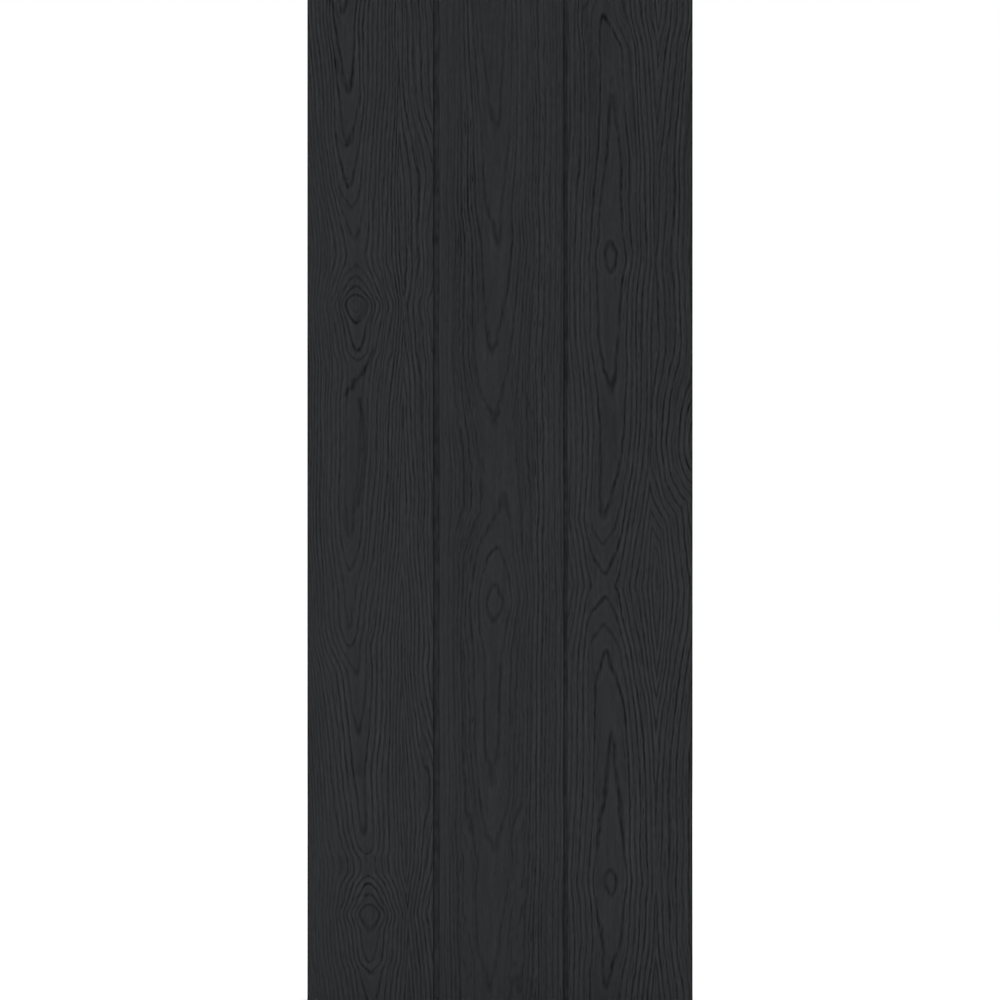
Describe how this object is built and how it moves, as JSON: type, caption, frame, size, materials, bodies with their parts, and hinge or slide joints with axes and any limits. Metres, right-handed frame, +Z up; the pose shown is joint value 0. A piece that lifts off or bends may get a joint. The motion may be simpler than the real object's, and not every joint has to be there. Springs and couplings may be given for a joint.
{
  "type": "fire door leaf",
  "caption": "Solid-core fire door leaf faced on both sides with wide vertical woodgrain boards that are parted by flat-bottomed grooves.",
  "frame": {"origin": "foot of the hinge edge, at mid thickness", "axes": "+X across the leaf from the hinge edge to the lock edge, +Y through it from the front face to the back face, +Z up"},
  "size_m": [0.762, 0.044, 1.981],
  "materials": {
    "face_board": "satin charcoal coating over embossed wood grain",
    "edge_lipping": "satin charcoal coating on fine straight grain",
    "sealed_core": "matt charcoal sealer on sawn ends"
  },
  "bodies": {
    "root": {"front_left_board": "face_board", "front_middle_board": "face_board", "front_right_board": "face_board", "back_left_board": "face_board", "back_middle_board": "face_board", "back_right_board": "face_board", "front_crossband": "sealed_core", "back_crossband": "sealed_core", "hinge_edge_lipping": "edge_lipping", "lock_edge_lipping": "edge_lipping", "hinge_stile": "sealed_core", "lock_stile": "sealed_core", "core_stave_1": "sealed_core", "core_stave_2": "sealed_core", "core_stave_3": "sealed_core", "core_stave_4": "sealed_core", "core_stave_5": "sealed_core", "core_stave_6": "sealed_core", "core_stave_7": "sealed_core", "core_stave_8": "sealed_core", "core_stave_9": "sealed_core", "core_stave_10": "sealed_core"}
  },
  "joints": []
}
